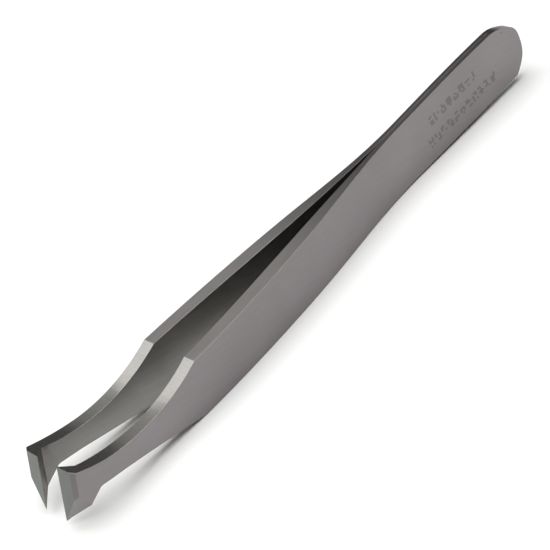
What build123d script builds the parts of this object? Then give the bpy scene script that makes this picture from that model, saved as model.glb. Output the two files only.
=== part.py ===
from build123d import *
import os
from math import asin, degrees, hypot

# Cutting tweezers for fine wire. Two mirrored steel arms are spot welded face to face at the heel, spread
# apart towards the front, and end in oblique jaws that are hooked inwards and ground flush at the front.
#
# Frame: +Z up across the width of the arms, -X towards the jaw tips, -Y to the left arm. The origin is at
# the middle of the length and of the two arms, on the surface that the straight lower edges rest on.
# Every "half" value and every y in a station is measured outwards from the plane between the arms.

# Lengths along the tool
OVERALL_LENGTH = 115.0          # jaw tips to the round rear end
WELDED_LENGTH = 33.2            # rear end to the front of the welded heel
FLEX_LINE_AHEAD = 8.3           # weld front to the line where each arm bends
FLEX_END_AHEAD = 19.3           # weld front to where the arm has grown thick
GRIP_AHEAD = 32.3               # weld front to the middle of the finger grip
SHOULDER_BACK = 29.9            # jaw tips to the sharp upper corner
REST_CORNER_BACK = 27.3         # jaw tips to the front end of the straight lower edge
NECK_BACK = 14.5                # jaw tips to the thinnest place of the neck, seen from above
REST_LENGTH = 36.5              # straight lower edge that the tool lies on

# Heights of the side outline
HEEL_TOP = 11.6                 # upper edge just ahead of the round rear end
HEEL_RISE = 1.25                # how far the lower edge climbs from the grip to the rear end
SADDLE_TOP = 10.5               # upper edge at the weld front
GRIP_TOP = 9.55                 # upper edge at the middle of the grip
SHOULDER_TOP = 9.33             # the sharp upper corner
NECK_TOP = 6.8                  # lowest point of the arc ground between corner and jaw
JAW_TOP = 9.92                  # upper end of the cutting edge
JAW_BACK_TOP = 9.1              # where the ground arc meets the straight back of the jaw
TIP_HEIGHT = 1.2                # lower end of the cutting edge, the tip

# Round rear end
NOSE_HEIGHT = 7.6               # height of the rearmost point
NOSE_TOP_RUN = 5.7              # rearmost point forward to the upper edge
NOSE_TOP_BULGE = 1.15           # height of the upper curve over its chord
NOSE_BOTTOM_RUN = 3.4           # rearmost point forward to the lower corner
NOSE_BOTTOM_BULGE = 1.1         # height of the lower curve over its chord
NOSE_BOTTOM_SLOPE = 0.75        # rise over run where the lower curve leaves the lower corner

# Jaw and neck, seen from the side
JAW_SLANT = 3.38                # how far the tip stands ahead of the upper end of the cutting edge
JAW_BACK_RUN = 2.1              # upper end of the cutting edge back to the ground arc
HEEL_OF_JAW_RUN = 3.45          # tip back to the lower rear corner of the jaw
HEEL_OF_JAW_RISE = 1.9          # and up to it
NOTCH_RUN = 6.3                 # tip back to the notch under the neck
NOTCH_RISE = 3.4                # and up to it
NOTCH_RADIUS = 1.2
THROAT_RUN = 11.0               # tip back to the bend in the lower edge of the neck
THROAT_RISE = 2.6               # and up to it
THROAT_RADIUS = 20.0

# Half gap between the arms and thickness of one arm, from the heel forward
HEEL_THICKNESS = 0.95
THICKENING_BEHIND = 4.0         # weld front back to where the arm starts to thicken
FLEX_HALF_GAP = 0.48
FLEX_THICKNESS = 1.42
FLEX_END_HALF_GAP = 1.27
FLEX_END_THICKNESS = 2.45
GRIP_HALF_GAP = 2.5
GRIP_THICKNESS = 2.85
SHOULDER_HALF_GAP = 4.0
SHOULDER_THICKNESS = 2.62
NECK_HALF_GAP = 4.25
NECK_THICKNESS = 2.65
JAW_HALF_GAP = 4.8
JAW_THICKNESS = 1.97
JAW_TAPER = 0.1                 # slope of the outer face back towards the middle plane, at the jaw

# Cutting jaw, as it is ground with the jaws closed
EDGE_HALF_OPENING = 2.8         # tip to the middle plane, at rest
EDGE_CLEARANCE = 0.02           # left between cutting edge and middle plane when the jaws are closed
FLANK_DEPTH = 2.15              # the slope behind the cutting edge, along the tool
FLANK_WIDTH = 2.1               # and across it
HOOK_ROOT = 0.6                 # how far the hooked part reaches into the arm
FRONT_WIDTH = 3.2               # width of the flush front face
CHEEK_DEPTH = 0.35              # sloping cheek outside the front face, along the tool
CHEEK_WIDTH = 0.6               # and across it
LOWER_BEVEL_RISE = 4.5          # tip up to where the lower outer bevel starts on the front face

# Spot welds that hold the two heels together
WELD_COUNT = 3
WELD_RADIUS = 1.4
WELD_DEPTH = 0.25               # how deep each nugget reaches into each heel
WELD_PITCH = 8.0
FIRST_WELD_BEHIND = 7.0         # weld front back to the first nugget

# Hardness test mark on the left heel
MARK_BALL_RADIUS = 0.5
MARK_DEPTH = 0.07
MARK_FROM_REAR = 3.2
MARK_HEIGHT = 10.4

FRONT_SPARE = 1.0               # metal left ahead of the jaws before they are ground
REACH = 40.0                    # how far cutting tools stand past the metal

REAR_X = OVERALL_LENGTH / 2
TIP_X = -OVERALL_LENGTH / 2
WELD_FRONT_X = REAR_X - WELDED_LENGTH
HINGE_X = WELD_FRONT_X - FLEX_LINE_AHEAD
SHOULDER_X = TIP_X + SHOULDER_BACK
EDGE_TOP_X = TIP_X + JAW_SLANT
HEEL_HEIGHT_MIDDLE = (HEEL_TOP + HEEL_RISE) / 2


def plan_stations():
    """Places along the free arm: x, half gap to the inner face, half width to the outer face."""
    stations = [
        (HINGE_X, FLEX_HALF_GAP, FLEX_THICKNESS),
        (WELD_FRONT_X - FLEX_END_AHEAD, FLEX_END_HALF_GAP, FLEX_END_THICKNESS),
        (WELD_FRONT_X - GRIP_AHEAD, GRIP_HALF_GAP, GRIP_THICKNESS),
        (SHOULDER_X, SHOULDER_HALF_GAP, SHOULDER_THICKNESS),
        (TIP_X + NECK_BACK, NECK_HALF_GAP, NECK_THICKNESS),
        (EDGE_TOP_X, JAW_HALF_GAP, JAW_THICKNESS),
    ]
    return [(x, gap, gap + thickness) for x, gap, thickness in stations]


def plan_outline():
    """Left arm and heel seen from above, without the hooked jaw."""
    stations = plan_stations()
    front_x = TIP_X - FRONT_SPARE
    inner = [(WELD_FRONT_X, 0)] + [(x, -gap) for x, gap, outer in stations]
    outer = [(WELD_FRONT_X + THICKENING_BEHIND, -HEEL_THICKNESS)] + [(x, -out) for x, gap, out in stations]
    inner_curve = Spline(*inner)
    outer_curve = Spline(*outer, tangents=[(-1, 0), (-1, JAW_TAPER)])
    front = Polyline(inner[-1], (front_x, inner[-1][1]), (front_x, outer[-1][1]), outer[-1])
    heel = Polyline(inner[0], (REAR_X, 0), (REAR_X, -HEEL_THICKNESS), outer[0])
    return make_face([*inner_curve.edges(), *front.edges(), *outer_curve.edges(), *heel.edges()])


def side_outline():
    """Either arm seen from the side, in x and z, with the front left long for grinding."""
    nose = (REAR_X, NOSE_HEIGHT)
    nose_top = (REAR_X - NOSE_TOP_RUN, HEEL_TOP)
    nose_bottom = (REAR_X - NOSE_BOTTOM_RUN, HEEL_RISE)
    shoulder = (SHOULDER_X, SHOULDER_TOP)
    jaw_top = (EDGE_TOP_X, JAW_TOP)
    jaw_back = (EDGE_TOP_X + JAW_BACK_RUN, JAW_BACK_TOP)
    neck = ((SHOULDER_X + jaw_back[0]) / 2, NECK_TOP)
    heel_of_jaw = (TIP_X + HEEL_OF_JAW_RUN, TIP_HEIGHT + HEEL_OF_JAW_RISE)
    notch = (TIP_X + NOTCH_RUN, TIP_HEIGHT + NOTCH_RISE)
    throat = (TIP_X + THROAT_RUN, TIP_HEIGHT + THROAT_RISE)
    rest_front = (TIP_X + REST_CORNER_BACK, 0)
    rest_rear = (rest_front[0] + REST_LENGTH, 0)
    slope = HEEL_OF_JAW_RISE / HEEL_OF_JAW_RUN
    jaw_over = (jaw_top[0] - FRONT_SPARE, JAW_TOP + slope * FRONT_SPARE)
    tip_over = (TIP_X - FRONT_SPARE, TIP_HEIGHT - slope * FRONT_SPARE)
    upper = Spline(nose_top, (WELD_FRONT_X, SADDLE_TOP), (WELD_FRONT_X - GRIP_AHEAD, GRIP_TOP), shoulder,
                   tangents=[(-1, 0), (-1, 0)])
    neck_arc = ThreePointArc(shoulder, neck, jaw_back)
    front = Polyline(jaw_back, jaw_top, jaw_over, tip_over, heel_of_jaw)
    under = FilletPolyline(heel_of_jaw, notch, throat, rest_front, radius=(NOTCH_RADIUS, THROAT_RADIUS))
    rest = Line(rest_front, rest_rear)
    climb = TangentArc(rest_rear, nose_bottom, tangent=(1, 0))
    rear_low = Spline(nose_bottom, curve_middle(nose_bottom, nose, NOSE_BOTTOM_BULGE), nose,
                      tangents=[(1, NOSE_BOTTOM_SLOPE), (0, 1)])
    rear_top = Spline(nose, curve_middle(nose, nose_top, NOSE_TOP_BULGE), nose_top,
                      tangents=[(0, 1), (-1, 0)])
    wires = [upper, neck_arc, front, under, rest, climb, rear_low, rear_top]
    return make_face([edge for wire in wires for edge in wire.edges()])


def curve_middle(start, end, bulge):
    """Point beside the middle of a chord, pushed out to the right by bulge millimetres."""
    length = hypot(end[0] - start[0], end[1] - start[1])
    along = ((end[0] - start[0]) / length, (end[1] - start[1]) / length)
    return ((start[0] + end[0]) / 2 + along[1] * bulge, (start[1] + end[1]) / 2 - along[0] * bulge)


def side_prism():
    """The side outline as a prism through both arms."""
    standing = Plane.XZ * side_outline()
    return extrude(standing, amount=REACH, both=True)


def hinge_reach():
    """Distance from the flex line, on the inner face, to the tip."""
    return hypot(HINGE_X - TIP_X, EDGE_HALF_OPENING - FLEX_HALF_GAP)


def closing_angle():
    """Turn of one arm about its flex line, in degrees, that brings its tip to the middle plane."""
    open_angle = asin((EDGE_HALF_OPENING - FLEX_HALF_GAP) / hinge_reach())
    closed_angle = asin((EDGE_CLEARANCE - FLEX_HALF_GAP) / hinge_reach())
    return degrees(open_angle - closed_angle)


def closed_tip_x():
    """Where the tip comes to stand when the jaws are closed."""
    return HINGE_X - (hinge_reach() ** 2 - (FLEX_HALF_GAP - EDGE_CLEARANCE) ** 2) ** 0.5


def opened(shape):
    """Turn a tool set for the closed left jaw to where the jaw is at rest."""
    axis = Axis((HINGE_X, -FLEX_HALF_GAP, 0), (0, 0, 1))
    return shape.rotate(axis, closing_angle())


def slanted_prism(points):
    """Prism on x, y points at the height of the tip, along the slant of the closed cutting edge."""
    face = make_face(Polyline(*points, close=True).edges())
    slant = (JAW_SLANT, 0, JAW_TOP - TIP_HEIGHT)
    return extrude(Pos(0, 0, TIP_HEIGHT) * face, amount=REACH, dir=slant, both=True)


def jaw_hook():
    """The hooked part of the left jaw, from the cutting edge back along its flank into the arm."""
    x = closed_tip_x()
    edge = (x, -EDGE_CLEARANCE)
    flank_end = (x + FLANK_DEPTH, -EDGE_CLEARANCE - FLANK_WIDTH)
    inside_y = flank_end[1] - HOOK_ROOT
    return opened(slanted_prism([edge, flank_end, (flank_end[0], inside_y), (x, inside_y)]))


def front_grind():
    """All that lies ahead of the flush front face."""
    x = closed_tip_x()
    return opened(slanted_prism([(x, 5), (x, -REACH), (x - REACH, -REACH), (x - REACH, 5)]))


def cheek_grind():
    """All that lies outside the sloping cheek of the left jaw."""
    x = closed_tip_x()
    start = (x - CHEEK_DEPTH, -EDGE_CLEARANCE - FRONT_WIDTH + CHEEK_WIDTH)
    end = (x + 2 * CHEEK_DEPTH, -EDGE_CLEARANCE - FRONT_WIDTH - 2 * CHEEK_WIDTH)
    return opened(slanted_prism([start, end, (end[0], -REACH), (start[0], -REACH)]))


def lower_bevel():
    """All that lies outside the bevel between the tip, the front face and the lower outer corner."""
    slant = JAW_SLANT / (JAW_TOP - TIP_HEIGHT)
    tip = Vector(TIP_X, -EDGE_HALF_OPENING, TIP_HEIGHT)
    on_front = Vector(TIP_X + slant * LOWER_BEVEL_RISE, -EDGE_HALF_OPENING - FRONT_WIDTH,
                      TIP_HEIGHT + LOWER_BEVEL_RISE)
    corner = Vector(TIP_X + HEEL_OF_JAW_RUN, -JAW_HALF_GAP - JAW_THICKNESS, TIP_HEIGHT + HEEL_OF_JAW_RISE)
    normal = (corner - tip).cross(on_front - tip).normalized()
    if normal.Z > 0:
        normal = -normal
    block = Box(REACH, REACH, REACH, align=(Align.CENTER, Align.CENTER, Align.MIN))
    return Plane(origin=tip, z_dir=normal) * block


def left_blank():
    """The whole left forging with its jaw, before the welds."""
    arm = extrude(plan_outline(), amount=REACH)
    blank = (arm + jaw_hook()) & side_prism()
    return blank - front_grind() - cheek_grind() - lower_bevel()


def weld_places():
    """Middles of the spot welds on the joint plane."""
    first = WELD_FRONT_X + FIRST_WELD_BEHIND
    return [(first + index * WELD_PITCH, HEEL_HEIGHT_MIDDLE) for index in range(WELD_COUNT)]


def weld_nugget(x, z):
    """One spot weld: a flat round nugget of melted steel across the joint plane."""
    disc = Cylinder(WELD_RADIUS, 2 * WELD_DEPTH, rotation=(90, 0, 0))
    return Pos(x, 0, z) * disc


def rear_of_flex_line():
    """Everything behind the flex line."""
    block = Box(4 * REACH, 2 * REACH, 2 * REACH, align=(Align.MIN, Align.CENTER, Align.CENTER))
    return Pos(HINGE_X, 0, 0) * block


def heel(blank):
    """The rear end of a forging, recessed for its half of each spot weld."""
    part = blank & rear_of_flex_line()
    for x, z in weld_places():
        part -= weld_nugget(x, z)
    return part


def hardness_mark():
    """The ball of the hardness tester, pressed into the left heel."""
    depth = HEEL_THICKNESS + MARK_BALL_RADIUS - MARK_DEPTH
    return Pos(REAR_X - MARK_FROM_REAR, -depth, MARK_HEIGHT) * Sphere(MARK_BALL_RADIUS)


def build():
    """All nodes by name."""
    left = left_blank()
    right = mirror(left, about=Plane.XZ)
    nodes = {
        "left_heel": heel(left) - hardness_mark(),
        "right_heel": heel(right),
        "left_arm_with_jaw": left - rear_of_flex_line(),
        "right_arm_with_jaw": right - rear_of_flex_line(),
    }
    for number, (x, z) in enumerate(weld_places(), start=1):
        nodes[f"spot_weld_{number}"] = weld_nugget(x, z)
    return nodes


os.makedirs("parts", exist_ok=True)
for name, shape in build().items():
    export_step(shape, f"parts/{name}.step")
print(f"each arm closes by {closing_angle():.3f} degrees about x {HINGE_X:.2f}, y {FLEX_HALF_GAP:.2f}")
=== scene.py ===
"""Cutting tweezers for fine wire: the looks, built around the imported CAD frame.

Two mirrored steel forgings are spot welded at the heel. Each forging is one piece of metal that bends, so
the two CAD nodes of a side are joined again here into one mesh that turns smoothly from the heel to the arm.
"""

import logging
import math
from dataclasses import dataclass
from enum import Enum
from functools import cached_property
from typing import Callable

import bmesh
import bpy
from mathutils import Matrix, Vector


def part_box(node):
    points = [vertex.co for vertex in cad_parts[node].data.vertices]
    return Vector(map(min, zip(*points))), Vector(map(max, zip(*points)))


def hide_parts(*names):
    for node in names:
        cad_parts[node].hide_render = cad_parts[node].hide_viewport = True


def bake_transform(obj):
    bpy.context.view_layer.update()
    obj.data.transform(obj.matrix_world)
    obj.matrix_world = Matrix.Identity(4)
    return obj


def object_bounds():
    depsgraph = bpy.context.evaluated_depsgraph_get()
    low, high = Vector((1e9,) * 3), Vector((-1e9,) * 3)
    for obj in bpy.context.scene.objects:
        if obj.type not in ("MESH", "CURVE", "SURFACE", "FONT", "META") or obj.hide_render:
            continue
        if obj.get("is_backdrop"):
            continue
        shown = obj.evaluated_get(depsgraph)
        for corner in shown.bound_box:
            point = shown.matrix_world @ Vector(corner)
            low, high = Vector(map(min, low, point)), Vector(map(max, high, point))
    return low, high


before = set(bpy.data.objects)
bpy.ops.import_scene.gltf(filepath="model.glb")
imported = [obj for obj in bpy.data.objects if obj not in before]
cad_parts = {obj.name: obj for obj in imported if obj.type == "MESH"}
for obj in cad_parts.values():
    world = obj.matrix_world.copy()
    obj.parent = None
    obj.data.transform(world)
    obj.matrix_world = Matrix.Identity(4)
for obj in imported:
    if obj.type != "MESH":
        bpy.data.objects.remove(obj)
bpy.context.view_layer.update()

LOG = logging.getLogger("tweezers")
MM = 0.001


class Side(Enum):
    """Which of the two mirrored forgings; the value is the sign of its y."""

    LEFT = -1
    RIGHT = 1


class Zone(Enum):
    """Ground surfaces of a forging; the value is the place of its finish in the mesh's slots."""

    FLANK = 0
    INSIDE = 1
    RIM = 2
    NECK = 3
    JAW = 4
    HOOK = 5
    MARKED = 6


# How far the normal of a face or edge leans to a side, as a share of its length, to count as facing it.
HOOK_LEAN = 0.3         # back and inward
FRONT_LEAN = 0.3        # to the front
FRONT_SPLAY = 0.25      # outward, at most, on a front face
FLANK_LEAN = 0.4        # outward
INSIDE_LEAN = 0.7       # inward
LOWER_LEAN = 0.2        # downward


def srgb(code: str) -> tuple[float, float, float, float]:
    """Turns an sRGB hex colour to the linear one that shaders take.

    Args:
        code: Six hex digits after a hash.

    Returns:
        Linear red, green, blue and an alpha of 1.
    """
    parts = [int(code[start:start + 2], 16) / 255 for start in (1, 3, 5)]
    linear = [part / 12.92 if part <= 0.04045 else ((part + 0.055) / 1.055) ** 2.4 for part in parts]
    return (*linear, 1.0)


def per(size_mm: float) -> float:
    """Scale of a pattern on Object coordinates, in metres, whose features are size_mm apart."""
    return 1.0 / (size_mm * MM)


def toward(azimuth: float, elevation: float) -> Vector:
    """Which way a light or the camera stands, seen from the tool.

    Args:
        azimuth: Degrees; 0 is -Y and 90 is +X.
        elevation: Degrees above the floor.

    Returns:
        The direction, one metre long.
    """
    turn, rise = math.radians(azimuth), math.radians(elevation)
    return Vector((math.sin(turn) * math.cos(rise), -math.cos(turn) * math.cos(rise), math.sin(rise)))


def blank_material(name: str) -> bpy.types.Material:
    """Adds a material with an empty node tree.

    Args:
        name: The material's name.

    Returns:
        The material.
    """
    made = bpy.data.materials.new(name)
    made.use_nodes = True
    made.node_tree.nodes.clear()
    return made


def add_node(tree: bpy.types.NodeTree, kind: str, settings: dict[str, object] | None = None,
             **links: object) -> bpy.types.Node:
    """Adds one node.

    Args:
        tree: The node tree it goes into.
        kind: Its type, such as ShaderNodeMath.
        settings: Its own properties by name.
        links: Its inputs by name, or by "i" and number; each is an output socket to link or a value to set.

    Returns:
        The new node.
    """
    node = tree.nodes.new(kind)
    for name, value in (settings or {}).items():
        setattr(node, name, value)
    for name, value in links.items():
        socket = node.inputs[int(name[1:])] if name[1:].isdigit() else node.inputs[name.replace("_", " ")]
        if isinstance(value, bpy.types.NodeSocket):
            tree.links.new(value, socket)
        else:
            socket.default_value = value
    return node


@dataclass(frozen=True)
class GroundSteel:
    """Carbon tool steel, hardened, tempered and ground on an abrasive belt or wheel.

    Grinding leaves fine parallel scratches, so the metal looks satin: it shows soft, slightly streaked
    reflections of its surroundings and no clear mirror image. Real scratches are a few hundredths of a
    millimetre apart. They are drawn about ten times as coarse, or they wouldn't show.
    """

    name: str
    light: str                      # colour of the clean metal
    dark: str                       # colour where the grind is dull
    roughness: float
    roughness_spread: float         # how much the scratches vary it
    scratch_spacing: float          # mm across the scratches
    scratch_length: float           # mm along them
    scratch_depth: float            # mm
    along: tuple[float, float, float]   # direction of the scratches, in degrees of turn from +X
    cloud_size: float               # mm, soft patches of uneven grinding
    cloud_share: float              # how strongly they show
    dark_up_to: float = 0.3         # noise value below which the metal has its dark colour
    light_from: float = 0.7         # and above which it has its light one

    def material(self) -> bpy.types.Material:
        """Makes the finish.

        Returns:
            The material.
        """
        made = blank_material(self.name)
        tree = made.node_tree
        place = add_node(tree, "ShaderNodeTexCoord").outputs["Object"]
        scratches = self.scratches(tree, place)
        clouds = add_node(tree, "ShaderNodeTexNoise", Vector=place, Scale=per(self.cloud_size),
                          Detail=3.0, Roughness=0.5).outputs["Fac"]
        tone = add_node(tree, "ShaderNodeMix", {"data_type": "FLOAT"}, Factor=self.cloud_share,
                        i2=scratches, i3=clouds).outputs[0]
        colour = add_node(tree, "ShaderNodeValToRGB", Fac=tone)
        dull_and_shade, clean = colour.color_ramp.elements
        dull_and_shade.position, clean.position = self.dark_up_to, self.light_from
        dull_and_shade.color, clean.color = srgb(self.dark), srgb(self.light)
        metal = self.coloured(tree, place, colour.outputs["Color"])
        rough = add_node(tree, "ShaderNodeMapRange", Value=scratches,
                         i3=self.roughness - self.roughness_spread,
                         i4=self.roughness + self.roughness_spread)
        bump = add_node(tree, "ShaderNodeBump", Strength=1.0, Distance=self.scratch_depth * MM,
                        Height=scratches)
        shader = add_node(tree, "ShaderNodeBsdfPrincipled", Base_Color=metal, Metallic=1.0,
                          Roughness=rough.outputs["Result"], Normal=bump.outputs["Normal"])
        add_node(tree, "ShaderNodeOutputMaterial", Surface=shader.outputs["BSDF"])
        return made

    def scratches(self, tree: bpy.types.NodeTree, place: bpy.types.NodeSocket) -> bpy.types.NodeSocket:
        """Long thin noise along the direction of grinding.

        Args:
            tree: The node tree.
            place: Object coordinates.

        Returns:
            The socket that holds the scratches, from 0 to 1.
        """
        turned = add_node(tree, "ShaderNodeMapping", {"vector_type": "TEXTURE"}, Vector=place,
                          Rotation=tuple(math.radians(angle) for angle in self.along))
        stretched = add_node(tree, "ShaderNodeMapping", Vector=turned.outputs["Vector"],
                             Scale=(per(self.scratch_length), per(self.scratch_spacing),
                                    per(self.scratch_spacing)))
        noise = add_node(tree, "ShaderNodeTexNoise", Vector=stretched.outputs["Vector"], Scale=1.0,
                         Detail=4.0, Roughness=0.6)
        return noise.outputs["Fac"]

    def coloured(self, tree: bpy.types.NodeTree, place: bpy.types.NodeSocket,
                 colour: bpy.types.NodeSocket) -> bpy.types.NodeSocket:
        """The metal's colour, which plain ground steel leaves as it is."""
        return colour


@dataclass(frozen=True)
class EtchedSteel(GroundSteel):
    """Belt-ground steel with a maker's lot code etched into it by an electric stencil.

    The etch is a matt dark grey and hardly sunk. The code is two rows of plain blocks, with no lettering.
    """

    etch: str = "#4c4846"
    etch_share: float = 0.4
    cell: float = 0.42              # mm, one dot of a block
    cells_across: int = 3           # dots across a block
    empty_share: float = 0.42       # share of the dots that are left clean
    block: float = 1.68             # mm, from one block to the next
    tilt: float = 4.0               # degrees, so that the rows follow the rising edges of the heel
    rows: tuple[tuple[float, float, float, float], ...] = ()    # x and z limits of each turned row, in mm

    def coloured(self, tree: bpy.types.NodeTree, place: bpy.types.NodeSocket,
                 colour: bpy.types.NodeSocket) -> bpy.types.NodeSocket:
        """Darkens the metal where the code is etched.

        Args:
            tree: The node tree.
            place: Object coordinates.
            colour: The clean metal's colour.

        Returns:
            The socket that holds the colour with the code.
        """
        level = add_node(tree, "ShaderNodeMapping", Vector=place,
                         Rotation=(0.0, math.radians(self.tilt), 0.0)).outputs["Vector"]
        parts = add_node(tree, "ShaderNodeSeparateXYZ", Vector=level).outputs
        in_rows: bpy.types.NodeSocket | float = 0.0
        for x_low, x_high, z_low, z_high in self.rows:
            in_x = add_node(tree, "ShaderNodeMath", {"operation": "COMPARE"}, i0=parts["X"],
                            i1=(x_low + x_high) / 2 * MM, i2=(x_high - x_low) / 2 * MM).outputs["Value"]
            in_z = add_node(tree, "ShaderNodeMath", {"operation": "COMPARE"}, i0=parts["Z"],
                            i1=(z_low + z_high) / 2 * MM, i2=(z_high - z_low) / 2 * MM).outputs["Value"]
            in_row = add_node(tree, "ShaderNodeMath", {"operation": "MULTIPLY"}, i0=in_x,
                              i1=in_z).outputs["Value"]
            in_rows = add_node(tree, "ShaderNodeMath", {"operation": "MAXIMUM"}, i0=in_rows,
                               i1=in_row).outputs["Value"]
        snapped = add_node(tree, "ShaderNodeVectorMath", {"operation": "SNAP"}, i0=level,
                           i1=(self.cell * MM, 1.0, self.cell * MM)).outputs["Vector"]
        scaled = add_node(tree, "ShaderNodeVectorMath", {"operation": "SCALE"}, i0=snapped,
                          Scale=per(self.cell)).outputs["Vector"]
        dots = add_node(tree, "ShaderNodeTexWhiteNoise", Vector=scaled).outputs["Value"]
        dot_on = add_node(tree, "ShaderNodeMath", {"operation": "GREATER_THAN"}, i0=dots,
                          i1=self.empty_share).outputs["Value"]
        phase = add_node(tree, "ShaderNodeMath", {"operation": "WRAP"}, i0=parts["X"],
                         i1=self.block * MM, i2=0.0).outputs["Value"]
        in_block = add_node(tree, "ShaderNodeMath", {"operation": "LESS_THAN"}, i0=phase,
                            i1=self.cells_across * self.cell * MM).outputs["Value"]
        share = in_rows
        for factor in (dot_on, in_block, self.etch_share):
            share = add_node(tree, "ShaderNodeMath", {"operation": "MULTIPLY"}, i0=share,
                             i1=factor).outputs["Value"]
        return add_node(tree, "ShaderNodeMix", {"data_type": "RGBA"}, Factor=share, i6=colour,
                        i7=srgb(self.etch)).outputs[2]


@dataclass(frozen=True)
class HeelShadedSteel(GroundSteel):
    """Wheel-ground steel with painted shade: its colour goes over into a darker brown-grey towards the heel.
    """

    # colour of the painted shade at the heel
    heel: str = "#767270"
    unshaded_until: float = -8.0      # mm, x up to which the metal keeps its own colour, with no painted shade
    fully_shaded_from: float = 22.0         # mm, x from which the painted shade is at its darkest

    def coloured(self, tree: bpy.types.NodeTree, place: bpy.types.NodeSocket,
                 colour: bpy.types.NodeSocket) -> bpy.types.NodeSocket:
        """Paints shade onto the metal towards the heel.

        Args:
            tree: The node tree.
            place: Object coordinates.
            colour: The clean metal's colour.

        Returns:
            The socket that holds the colour with the painted shade.
        """
        x = add_node(tree, "ShaderNodeSeparateXYZ", Vector=place).outputs["X"]
        # painted shade: the metal turns darker along x towards the heel
        dull_and_shade = add_node(tree, "ShaderNodeMapRange", {"interpolation_type": "SMOOTHSTEP"}, Value=x,
                        i1=self.unshaded_until * MM, i2=self.fully_shaded_from * MM).outputs["Result"]
        return add_node(tree, "ShaderNodeMix", {"data_type": "RGBA"}, Factor=dull_and_shade, i6=colour,
                        i7=srgb(self.heel)).outputs[2]


@dataclass(frozen=True)
class WeldSteel:
    """Steel that melted and froze between the heels: dull, slightly blued and finely pitted."""

    name: str = "spot_weld_steel"
    light: str = "#8d8a88"
    blued: str = "#5f626b"
    pit_size: float = 0.3           # mm
    pit_depth: float = 0.01         # mm
    roughness: float = 0.5

    def material(self) -> bpy.types.Material:
        """Makes the finish.

        Returns:
            The material.
        """
        made = blank_material(self.name)
        tree = made.node_tree
        place = add_node(tree, "ShaderNodeTexCoord").outputs["Object"]
        pits = add_node(tree, "ShaderNodeTexNoise", Vector=place, Scale=per(self.pit_size),
                        Detail=3.0).outputs["Fac"]
        colour = add_node(tree, "ShaderNodeMix", {"data_type": "RGBA"}, Factor=pits,
                          i6=srgb(self.light), i7=srgb(self.blued)).outputs[2]
        bump = add_node(tree, "ShaderNodeBump", Strength=1.0, Distance=self.pit_depth * MM, Height=pits)
        shader = add_node(tree, "ShaderNodeBsdfPrincipled", Base_Color=colour, Metallic=1.0,
                          Roughness=self.roughness, Normal=bump.outputs["Normal"])
        add_node(tree, "ShaderNodeOutputMaterial", Surface=shader.outputs["BSDF"])
        return made


# Directions of grinding, in degrees of turn from +X: almost level along the rim, a little aslant along the
# flanks, straight across the neck, and up and down the jaw.
LEVEL = (0.0, 1.0, 0.0)
LENGTHWISE = (0.0, 12.0, 0.0)
CROSSWISE = (0.0, 0.0, 90.0)
UPRIGHT = (0.0, 70.0, 0.0)

# The broad outer sides: satin, with an even grey and a faint streak along the tool.
FLANK_GRIND = dict(
    light="#908b8c", dark="#837f80", roughness=0.42, roughness_spread=0.05, scratch_spacing=0.4,
    scratch_length=14.0, scratch_depth=0.003, along=LENGTHWISE, cloud_size=16.0, cloud_share=0.6)
FLANK_STEEL = GroundSteel(name="belt_ground_steel_flank", **FLANK_GRIND)

# The left heel's outer side: the same metal, with two faint grey rows of etched blocks.
MARKED_STEEL = EtchedSteel(name="belt_ground_steel_etched", **FLANK_GRIND,
                           rows=((34.0, 46.2, 3.78, 5.46), (32.0, 50.4, 0.42, 2.1)))

# Between the arms: ground less carefully, so it is patchier.
INSIDE_STEEL = GroundSteel(
    name="belt_ground_steel_inside", light="#979593", dark="#83817e", roughness=0.38, roughness_spread=0.06,
    scratch_spacing=0.4, scratch_length=12.0, scratch_depth=0.003, along=LENGTHWISE, cloud_size=9.0,
    cloud_share=0.6)

# The narrow edges above and below: a finer wheel grinds them bright, and painted shade darkens them towards
# the heel.
RIM_STEEL = HeelShadedSteel(
    name="wheel_ground_steel_rim", light="#b0acaa", dark="#a09c9a", roughness=0.32, roughness_spread=0.03,
    scratch_spacing=0.25, scratch_length=8.0, scratch_depth=0.0008, along=LEVEL, cloud_size=6.0,
    cloud_share=0.4)

# The arc ground across each neck: the brightest metal, which shades from white to grey as it curves.
NECK_STEEL = GroundSteel(
    name="wheel_ground_steel_neck", light="#aaa8a4", dark="#9d9b97", roughness=0.24, roughness_spread=0.03,
    scratch_spacing=0.2, scratch_length=3.0, scratch_depth=0.0012, along=CROSSWISE, cloud_size=3.0,
    cloud_share=0.3)

# The flush front faces: a fine grind over hard steel, darker and a little green.
JAW_STEEL = GroundSteel(
    name="fine_ground_steel_jaw", light="#737672", dark="#686b67", roughness=0.3, roughness_spread=0.04,
    scratch_spacing=0.25, scratch_length=5.0, scratch_depth=0.002, along=UPRIGHT, cloud_size=3.0,
    cloud_share=0.5)

# The slopes behind the cutting edges: left coarse and brown from the quench.
HOOK_STEEL = GroundSteel(
    name="ground_steel_hook_flank", light="#6e6863", dark="#57514c", roughness=0.36, roughness_spread=0.05,
    scratch_spacing=0.25, scratch_length=4.0, scratch_depth=0.003, along=UPRIGHT, cloud_size=2.0,
    cloud_share=0.5)

FINISHES: dict[Zone, GroundSteel] = {
    Zone.FLANK: FLANK_STEEL,
    Zone.INSIDE: INSIDE_STEEL,
    Zone.RIM: RIM_STEEL,
    Zone.NECK: NECK_STEEL,
    Zone.JAW: JAW_STEEL,
    Zone.HOOK: HOOK_STEEL,
    Zone.MARKED: MARKED_STEEL,
}


def only(obj: bpy.types.Object) -> None:
    """Makes one object the selected and active one.

    Args:
        obj: The object.
    """
    bpy.ops.object.select_all(action="DESELECT")
    obj.select_set(True)
    bpy.context.view_layer.objects.active = obj


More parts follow.
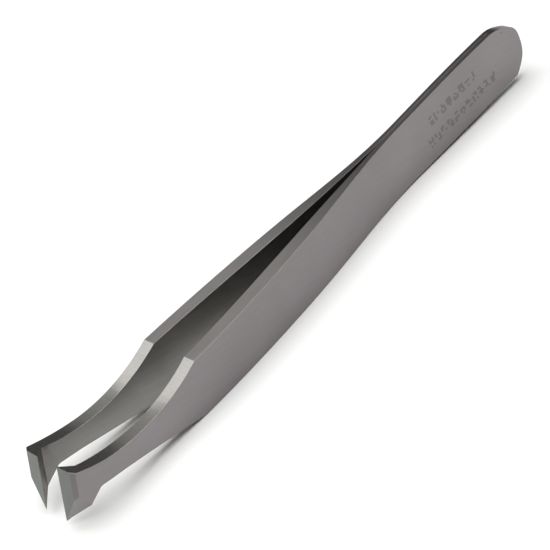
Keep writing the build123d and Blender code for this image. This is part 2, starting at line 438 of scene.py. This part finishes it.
def pick(obj: bpy.types.Object, kind: str, wanted: Callable[[object], bool]) -> None:
    """Selects faces or edges in edit mode, and nothing else.

    Args:
        obj: The mesh being edited.
        kind: FACE or EDGE.
        wanted: Says of each element if it is selected.
    """
    bpy.ops.mesh.select_mode(type=kind)
    bpy.ops.mesh.select_all(action="DESELECT")
    mesh = bmesh.from_edit_mesh(obj.data)
    for element in mesh.faces if kind == "FACE" else mesh.edges:
        if wanted(element):
            element.select_set(True)
    mesh.select_flush_mode()
    bmesh.update_edit_mesh(obj.data)


@dataclass
class Forging:
    """One arm with its jaw and its heel, forged and ground from one bar."""

    side: Side
    head_length: float = 5.6 * MM       # jaw tip back to where the head goes over into the neck
    neck_length: float = 29.9 * MM      # jaw tip back to the sharp upper corner
    nose_length: float = 8.0 * MM       # the round rear end, whose edges are all broken alike
    tip_length: float = 0.6 * MM        # keen foremost end of the jaw, where no edge is broken
    marked_from_x: float = 26 * MM      # front end of the flank that carries the etched code
    station_pitch: float = 1.5 * MM     # length of the straight pieces that its curves are made of
    merge_within: float = 0.002 * MM
    middle_within: float = 0.01 * MM    # how near the middle plane an edge belongs to the heels' joint
    flat_within: float = 1.2            # degrees between faces that count as one flat face
    edge_from: float = 40.0             # degrees between faces that meet in an edge worth breaking
    upper_break: float = 0.03 * MM      # how wide the upper outer edges are broken
    lower_break: float = 0.14 * MM      # and the lower ones
    inner_break: float = 0.03 * MM      # and the inner ones
    seam_break: float = 0.04 * MM       # edges along the joint between the heels
    break_steps: int = 2
    smooth_below: float = 18.0          # degrees between faces that are shaded as one curve
    bend_length: float = 16.6 * MM      # arm length that bends, half on each side of the flex line

    @property
    def name(self) -> str:
        """left or right."""
        return self.side.name.lower()

    @property
    def nodes(self) -> tuple[str, str]:
        """The CAD nodes that this forging stands for."""
        return f"{self.name}_heel", f"{self.name}_arm_with_jaw"

    @cached_property
    def flex_x(self) -> float:
        """Where the CAD model splits the forging."""
        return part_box(self.nodes[0])[0].x

    @cached_property
    def tip_x(self) -> float:
        """Foremost point of the jaw."""
        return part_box(self.nodes[1])[0].x

    @cached_property
    def rear_x(self) -> float:
        """Rearmost point of the heel."""
        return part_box(self.nodes[0])[1].x

    @cached_property
    def head_rear_x(self) -> float:
        """Where the jaw head goes over into the neck."""
        return self.tip_x + self.head_length

    def make(self, finishes: dict[Zone, bpy.types.Material]) -> bpy.types.Object:
        """Builds and dresses the forging, and bakes its placement.

        Args:
            finishes: The material of each zone.

        Returns:
            The finished piece.
        """
        forging = self.joined()
        self.divide(forging)
        self.dress(forging, finishes)
        self.break_edges(forging)
        self.smooth(forging)
        self.rig(forging)
        return forging

    def joined(self) -> bpy.types.Object:
        """Joins copies of the two CAD meshes into one closed mesh, with no wall at the flex line.

        Returns:
            The mesh.
        """
        bpy.ops.object.select_all(action="DESELECT")
        for node in self.nodes:
            copy = bpy.data.objects.new(f"{self.name}_forging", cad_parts[node].data.copy())
            bpy.context.scene.collection.objects.link(copy)
            copy.select_set(True)
        bpy.context.view_layer.objects.active = copy
        bpy.ops.object.join()
        forging = bpy.context.view_layer.objects.active
        forging.name = f"{self.name}_forging"
        bpy.ops.mesh.customdata_custom_splitnormals_clear()
        bpy.ops.object.mode_set(mode="EDIT")
        bpy.ops.mesh.select_all(action="SELECT")
        bpy.ops.mesh.remove_doubles(threshold=self.merge_within)
        pick(forging, "FACE", lambda face: all(
            abs(vert.co.x - self.flex_x) < self.merge_within for vert in face.verts))
        bpy.ops.mesh.delete(type="ONLY_FACE")
        pick(forging, "EDGE", lambda edge: edge.is_wire)
        bpy.ops.mesh.delete(type="EDGE")
        bpy.ops.object.mode_set(mode="OBJECT")
        return forging

    def divide(self, forging: bpy.types.Object) -> None:
        """Cuts the arm across at even stations, so that it shades smoothly.

        The heel behind the bend is flat and stays undivided.

        Args:
            forging: The mesh.
        """
        only(forging)
        bpy.ops.object.mode_set(mode="EDIT")
        bend_rear = self.flex_x + self.bend_length / 2 + self.station_pitch
        count = round((bend_rear - self.tip_x) / self.station_pitch)
        stations = [self.tip_x + (bend_rear - self.tip_x) * index / count for index in range(1, count + 1)]
        for x in [self.tip_x + self.tip_length, *stations]:
            bpy.ops.mesh.select_all(action="SELECT")
            bpy.ops.mesh.bisect(plane_co=(x, 0, 0), plane_no=(1, 0, 0), threshold=self.merge_within)
            bpy.ops.mesh.mark_seam(clear=False)
        pick(forging, "FACE", lambda face: face.calc_center_median().x < bend_rear)
        bpy.ops.mesh.dissolve_limited(angle_limit=math.radians(self.flat_within), delimit={"SEAM"})
        bpy.ops.mesh.select_all(action="SELECT")
        bpy.ops.mesh.mark_seam(clear=True)
        bpy.ops.object.mode_set(mode="OBJECT")

    def zone(self, normal: Vector, middle: Vector) -> Zone:
        """Which ground surface a face belongs to, by where it lies and how squarely it faces a side.

        Args:
            normal: The face's normal.
            middle: Its middle.

        Returns:
            The zone.
        """
        outward = normal.y * self.side.value
        if middle.x < self.head_rear_x:
            if normal.x > HOOK_LEAN and outward < -HOOK_LEAN:
                return Zone.HOOK
            if normal.x < -FRONT_LEAN and outward < FRONT_SPLAY:
                return Zone.JAW
        if outward > FLANK_LEAN:
            return Zone.MARKED if self.side is Side.LEFT and middle.x > self.marked_from_x else Zone.FLANK
        if outward < -INSIDE_LEAN:
            return Zone.INSIDE
        if normal.z > 0 and middle.x < self.tip_x + self.neck_length:
            return Zone.NECK
        return Zone.RIM

    def dress(self, forging: bpy.types.Object, finishes: dict[Zone, bpy.types.Material]) -> None:
        """Gives each face the finish of its zone.

        Args:
            forging: The mesh.
            finishes: The material of each zone.
        """
        forging.data.materials.clear()
        for zone in Zone:
            forging.data.materials.append(finishes[zone])
        for face in forging.data.polygons:
            face.material_index = self.zone(face.normal, face.center).value

    def break_of(self, edge: bmesh.types.BMEdge) -> float:
        """How wide an edge is broken, in metres; nothing on the cutting edge and on flat faces.

        Args:
            edge: The edge.

        Returns:
            The width.
        """
        if not edge.is_manifold or not edge.is_convex:
            return 0.0
        if math.degrees(edge.calc_face_angle(0.0)) < self.edge_from:
            return 0.0
        middle = (edge.verts[0].co + edge.verts[1].co) / 2
        faces = [self.zone(face.normal, face.calc_center_median()) for face in edge.link_faces]
        if middle.x < self.head_rear_x and (Zone.JAW in faces or Zone.HOOK in faces):
            return 0.0
        if min(vert.co.x for vert in edge.verts) < self.tip_x + self.tip_length / 2:
            return 0.0
        if abs(middle.y) < self.middle_within:
            return self.seam_break
        if Zone.INSIDE in faces:
            return self.inner_break
        facing = (edge.link_faces[0].normal + edge.link_faces[1].normal).normalized()
        return self.lower_break if self.is_lower(facing, middle) else self.upper_break

    def is_lower(self, normal: Vector, middle: Vector) -> bool:
        """Tells a lower edge, which the belt rounds more, from an upper one and from the nose.

        Args:
            normal: Where the edge faces.
            middle: Its middle.

        Returns:
            True for a lower edge.
        """
        return normal.z < -LOWER_LEAN and middle.x < self.rear_x - self.nose_length

    def break_edges(self, forging: bpy.types.Object) -> None:
        """Rounds the edges as a belt breaks them, each by its own width.

        Clamping stays off, because the slim triangles of the mesh would hold every break to nothing.

        Args:
            forging: The mesh.
        """
        widest = max(self.upper_break, self.lower_break, self.inner_break)
        only(forging)
        bpy.ops.object.mode_set(mode="EDIT")
        mesh = bmesh.from_edit_mesh(forging.data)
        weight = mesh.edges.layers.float.new("bevel_weight_edge")
        for edge in mesh.edges:
            edge[weight] = self.break_of(edge) / widest
        bmesh.update_edit_mesh(forging.data)
        bpy.ops.object.mode_set(mode="OBJECT")
        bevel = forging.modifiers.new("edge_break", "BEVEL")
        bevel.limit_method = "WEIGHT"
        bevel.width = widest
        bevel.segments = self.break_steps
        bevel.use_clamp_overlap = False
        bevel.loop_slide = False
        bpy.ops.object.modifier_apply(modifier=bevel.name)

    def smooth(self, forging: bpy.types.Object) -> None:
        """Shades the curves round and keeps every ground edge crisp.

        Args:
            forging: The mesh.
        """
        only(forging)
        bpy.ops.object.shade_smooth_by_angle(angle=math.radians(self.smooth_below))

    def rig(self, forging: bpy.types.Object) -> None:
        """Bakes the forging's placement into its mesh and hides the CAD nodes that it stands for.

        Args:
            forging: The mesh.
        """
        half = self.bend_length / 2
        f"{self.name}_arm"
        self.flex_x + half
        self.flex_x - half
        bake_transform(forging)
        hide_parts(*self.nodes)


@dataclass
class SpotWelds:
    """The nuggets of melted steel that hold the two heels together, kept as the CAD model has them."""

    finish: WeldSteel

    def dress(self) -> list[bpy.types.Object]:
        """Gives every nugget its finish.

        Returns:
            The nuggets.
        """
        material = self.finish.material()
        nuggets = [obj for name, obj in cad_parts.items() if name.startswith("spot_weld")]
        for nugget in nuggets:
            nugget.data.materials.clear()
            nugget.data.materials.append(material)
        return nuggets


@dataclass(frozen=True)
class Softbox:
    """A flat studio light with a diffuser."""

    name: str
    azimuth: float                  # degrees, seen from the tool: 0 is -Y and 90 is +X
    elevation: float                # degrees
    distance: float                 # metres
    width: float                    # metres
    height: float                   # metres
    radiance: float                 # watts per square metre and steradian

    def make(self, aim: Vector) -> bpy.types.Object:
        """Adds the light.

        Args:
            aim: The point that it faces.

        Returns:
            The light.
        """
        data = bpy.data.lights.new(self.name, "AREA")
        data.shape = "RECTANGLE"
        data.size = self.width
        data.size_y = self.height
        data.energy = self.radiance * math.pi * self.width * self.height
        light = bpy.data.objects.new(self.name, data)
        bpy.context.scene.collection.objects.link(light)
        outward = toward(self.azimuth, self.elevation)
        light.location = aim + outward * self.distance
        light.rotation_euler = (-outward).to_track_quat("-Z", "Y").to_euler()
        return light


@dataclass
class Studio:
    """Pale floor, soft light and the camera.

    The large box overhead lights the floor, which the outer sides and the front faces reflect. The two small
    ones behind are what the necks and the upper edges reflect.
    """

    floor_size: float = 6.0         # metres
    floor_tone: str = "#f2f2f1"
    floor_roughness: float = 0.9
    ambient: float = 0.08           # radiance from all round
    lights: tuple[Softbox, ...] = (
        Softbox("overhead_softbox", azimuth=0, elevation=89, distance=2.1, width=3.0, height=3.0,
                radiance=2.9),
        Softbox("rear_key_softbox", azimuth=190, elevation=42, distance=0.5, width=0.22, height=0.2,
                radiance=1.6),
        Softbox("rear_fill_softbox", azimuth=162, elevation=37, distance=0.5, width=0.13, height=0.14,
                radiance=0.4),
    )
    azimuth: float = -26.545        # degrees, where the camera stands
    elevation: float = 33.88        # degrees
    roll: float = -28.168           # degrees, about the camera's own axis
    distance: float = 0.3472        # metres
    aim: tuple[float, float, float] = (-0.00435, 0.001265, 0.004625)    # metres, near the tool's middle
    lens: float = 139.95            # mm
    sensor: float = 36.0            # mm
    clip_start: float = 0.01        # metres

    def make(self) -> None:
        """Builds the whole studio."""
        self.floor()
        self.world()
        for light in self.lights:
            light.make(Vector(self.aim))
        self.camera()
        bpy.context.scene.view_settings.view_transform = "Standard"

    def floor(self) -> None:
        """A matt pale board that the tool stands on."""
        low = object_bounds()[0]
        bpy.ops.object.select_all(action="DESELECT")
        bpy.ops.mesh.primitive_plane_add(size=self.floor_size, location=(0, 0, low.z))
        board = bpy.context.active_object
        board.name = "studio_floor"
        bpy.ops.object.transform_apply(location=True, rotation=True, scale=True)
        made = blank_material("matt_pale_board")
        tree = made.node_tree
        shader = add_node(tree, "ShaderNodeBsdfPrincipled", Base_Color=srgb(self.floor_tone),
                          Roughness=self.floor_roughness)
        add_node(tree, "ShaderNodeOutputMaterial", Surface=shader.outputs["BSDF"])
        board.data.materials.append(made)
        board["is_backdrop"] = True

    def world(self) -> None:
        """Even dim light from all round."""
        world = bpy.data.worlds.new("studio")
        world.use_nodes = True
        tree = world.node_tree
        tree.nodes.clear()
        background = add_node(tree, "ShaderNodeBackground", Color=srgb("#ffffff"), Strength=self.ambient)
        add_node(tree, "ShaderNodeOutputWorld", Surface=background.outputs["Background"])
        bpy.context.scene.world = world

    def camera(self) -> None:
        """Places the camera, turned about its own axis by roll."""
        back = toward(self.azimuth, self.elevation)
        data = bpy.data.cameras.new("studio_camera")
        data.lens = self.lens
        data.sensor_width = self.sensor
        data.clip_start = self.clip_start
        camera = bpy.data.objects.new("studio_camera", data)
        bpy.context.scene.collection.objects.link(camera)
        level = (-back).to_track_quat("-Z", "Y").to_matrix()
        camera.rotation_euler = (level @ Matrix.Rotation(math.radians(self.roll), 3, "Z")).to_euler()
        camera.location = Vector(self.aim) + back * self.distance
        bpy.context.scene.camera = camera


def main() -> None:
    """Builds everything in order."""
    logging.basicConfig(level=logging.INFO, format="%(message)s")
    finishes = {zone: steel.material() for zone, steel in FINISHES.items()}
    for side in Side:
        forging = Forging(side).make(finishes)
        LOG.info("%s: %d faces", forging.name, len(forging.data.polygons))
    for nugget in SpotWelds(WeldSteel()).dress():
        LOG.info("%s: CAD piece dressed", nugget.name)
    Studio().make()


if __name__ == "__main__":
    main()
